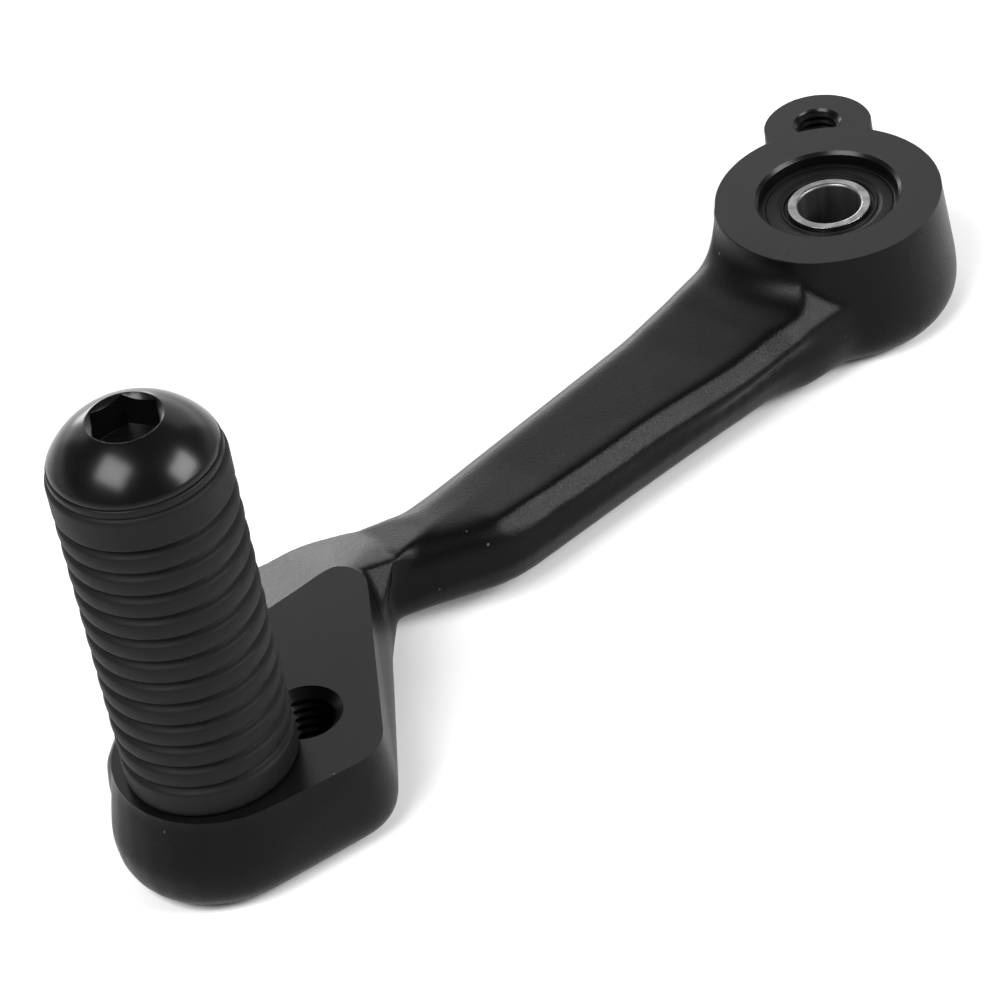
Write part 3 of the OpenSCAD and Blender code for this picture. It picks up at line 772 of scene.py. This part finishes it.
def ribbedRadius(h):
    ribs = rubber["ribs"]
    r = rubber["radius"]
    for i in range(ribs["count"]):
        off = (h - ribs["first"] - i * ribs["pitch"]) / ribs["width"]
        r -= ribs["depth"] * math.exp(-abs(off) ** ribs["power"])
    if ribs["first"] < h < ribs["first"] + (ribs["count"] - 1) * ribs["pitch"]:
        phase = 2 * math.pi * (h - ribs["first"]) / ribs["pitch"]
        r -= ribs["crown"] * math.cos(phase) + ribs["crown"]
    return r


def seamSwell(turn, r):  # the mould's parting line, which the grooves and the ends leave out
    seam = rubber["seam"]
    off = abs(turn - math.radians(seam["turn"]))
    off = min(off, 2 * math.pi - off)
    if seam["shallow"] < rubber["radius"] - r < seam["deep"]:
        return seam["height"] * math.exp(-(off / seam["halfTurn"]) ** 2)
    return 0.0


def pegRubber():
    height = rubberTop - padTop
    full, e, steps = rubber["radius"], rubber["edge"], rubber["edgeSteps"]
    turns = [math.pi / 2 * k / steps for k in range(steps + 1)]
    lower = [(full - e + e * math.sin(turn), e * (1 - math.cos(turn))) for turn in turns]
    upper = [(r, height - z) for r, z in reversed(lower)]
    levels = [e + (height - 2 * e) * k / rubber["sideSteps"] for k in range(1, rubber["sideSteps"])]
    middle = [(ribbedRadius(h), h) for h in levels]
    outline = [(rubber["tubeR"], 0)] + lower + middle + upper + [(rubber["tubeR"], height)]
    outline = [(r, padTop + z) for r, z in outline]
    return shaded(lathe("pegRubber", outline, rubberSteps, (pegX, 0), seamSwell), rubber["sharpAngle"])


# mouth is the cone that leads into the socket, as (radius, height above the head's top)
screw = dict(
    headR=9.4, domeR=10.5, domeSteps=24, land=0.45, headEdge=0.12, shankR=4, endR=3.37, endEdge=0.8,
    length=11, socket=7.2, socketTurn=50, socketDepth=4.9, edge=0.26, edgeSegments=4, edgeAngle=32,
    sharpAngle=35, mouth=[(0, -1.5), (3.45, -1.5), (3.9, -1.15), (5.9, 0.2), (5.9, 1), (0, 1)])


def pegScrew():
    headR, domeR, headEdge, endEdge = screw["headR"], screw["domeR"], screw["headEdge"], screw["endEdge"]
    top = headBase - math.sqrt(domeR ** 2 - headR ** 2) + domeR
    rise = top - headBase - screw["land"]
    ball = (headR ** 2 + rise ** 2) / (2 * rise)
    start, steps = math.acos(headR / ball), screw["domeSteps"]
    turns = [start + (math.pi / 2 - start) * k / steps for k in range(steps)]
    dome = [(ball * math.cos(turn), top - ball + ball * math.sin(turn)) for turn in turns] + [(0, top)]
    end = padTop - screw["length"]
    outline = [(0, end), (screw["endR"] - endEdge, end), (screw["endR"], end + endEdge),
               (screw["endR"], padTop), (screw["shankR"], padTop), (screw["shankR"], headBase),
               (headR - headEdge, headBase), (headR, headBase + headEdge)] + dome
    piece = lathe("pegScrew", outline, ringSteps, (pegX, 0))
    across = screw["socket"] / math.sqrt(3)
    corners = [math.radians(60 * k + screw["socketTurn"]) for k in range(6)]
    hexagon = [(pegX + across * math.cos(turn), across * math.sin(turn)) for turn in corners]
    carve(piece, prism("socket", hexagon, top - screw["socketDepth"], top + past))
    mouth = [(r, top + z) for r, z in screw["mouth"]]
    carve(piece, lathe("mouth", mouth, cutterSteps, (pegX, 0)))
    bevelled(piece, screw["edge"], screw["edgeSegments"], screw["edgeAngle"])
    return shaded(piece, screw["sharpAngle"])


washer = dict(innerR=4.2, innerEdge=0.05, lowEdge=0.2, highEdge=0.3, sharpAngle=30)


def pegWasher():
    low, high, innerR = rubberTop, headBase, washer["innerR"]
    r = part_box("peg_washer")[1].x / mm - pegX
    outline = [(innerR, low, washer["innerEdge"]), (r, low, washer["lowEdge"]),
               (r, high, washer["highEdge"]), (innerR, high, washer["innerEdge"])]
    return shaded(lathe("pegWasher", eased(outline), ringSteps, (pegX, 0)), washer["sharpAngle"])


fit(pegRubber(), "lever", "peg_rubber", "peg_rubber")
fit(pegScrew(), "lever", "gloss_screw", "peg_screw")
fit(pegWasher(), "lever", "washer_black", "peg_washer")
print("toe peg made")

# each lamp has its turn and rise about the lever, its width and height in metres, and its brightness
studio = dict(
    lens=148.05, sensor=36, eye=(319.63, 278.14, 315.30), tilt=(50.081, 8.209, 130.709),
    lampAim=(0.08, 0, 0.02), lampReach=0.95, floorHalf=30, floorWhite=0.82, ceiling=0.16,
    horizon=(0.14, 0.12),
    lamps=dict(key=(0, 55, 0.54, 0.44, 14.5), side=(118, 34, 0.5, 0.38, 16.5),
               far=(227, 27, 1.8, 0.9, 1.35), low=(240, 10, 0.62, 0.26, 8.2)))


def softbox(name, turn, rise, size, level):
    light = bpy.data.lights.new(name, "AREA")
    light.shape = "RECTANGLE"
    light.size, light.size_y = size
    light.energy = level * math.pi * size[0] * size[1]
    a, e = math.radians(turn), math.radians(rise)
    away = Vector((math.cos(a) * math.cos(e), math.sin(a) * math.cos(e), math.sin(e)))
    lamp = placed(name, light)
    lamp.location = Vector(studio["lampAim"]) + away * studio["lampReach"]
    lamp.rotation_euler = away.to_track_quat("Z", "Y").to_euler()


for name, (turn, rise, width, height, level) in studio["lamps"].items():
    softbox(name + "Box", turn, rise, (width, height), level)


def studioFloor():  # a matt, pale floor
    h = studio["floorHalf"]
    floor = addMesh("floor", [(-h, -h, 0), (h, -h, 0), (h, h, 0), (-h, h, 0)], [(0, 1, 2, 3)])
    floor.location.z = cadBox[0].z
    material = bpy.data.materials.new("paleFloor")
    graph = Graph(material)
    matt = graph.node("ShaderNodeBsdfDiffuse", {}, {"Color": grey(studio["floorWhite"])})
    graph.node("ShaderNodeOutputMaterial", {}, {"Surface": matt})
    floor.data.materials.append(material)


def studioWorld():  # white round the horizon and a dim ceiling
    world = bpy.data.worlds.new("studio")
    bpy.context.scene.world = world
    graph = Graph(world)
    way = graph.node("ShaderNodeTexCoord", {}, {}, "Generated")
    height = graph.node("ShaderNodeSeparateXYZ", {}, {0: way}, "Z")
    white = 1 - height.above(*studio["horizon"])
    strength = studio["ceiling"] + white * (1 - studio["ceiling"])
    backdrop = graph.node("ShaderNodeBackground", {}, {"Color": grey(1), "Strength": strength})
    graph.node("ShaderNodeOutputWorld", {}, {"Surface": backdrop})


studioFloor()
studioWorld()

cameraData = bpy.data.cameras.new("camera")
cameraData.lens = studio["lens"]
cameraData.sensor_width = studio["sensor"]
camera = placed("camera", cameraData)
camera.location = Vector(studio["eye"]) * mm
camera.rotation_euler = [math.radians(a) for a in studio["tilt"]]
bpy.context.scene.camera = camera
bpy.context.scene.view_settings.view_transform = "Standard"
print("studio ready")
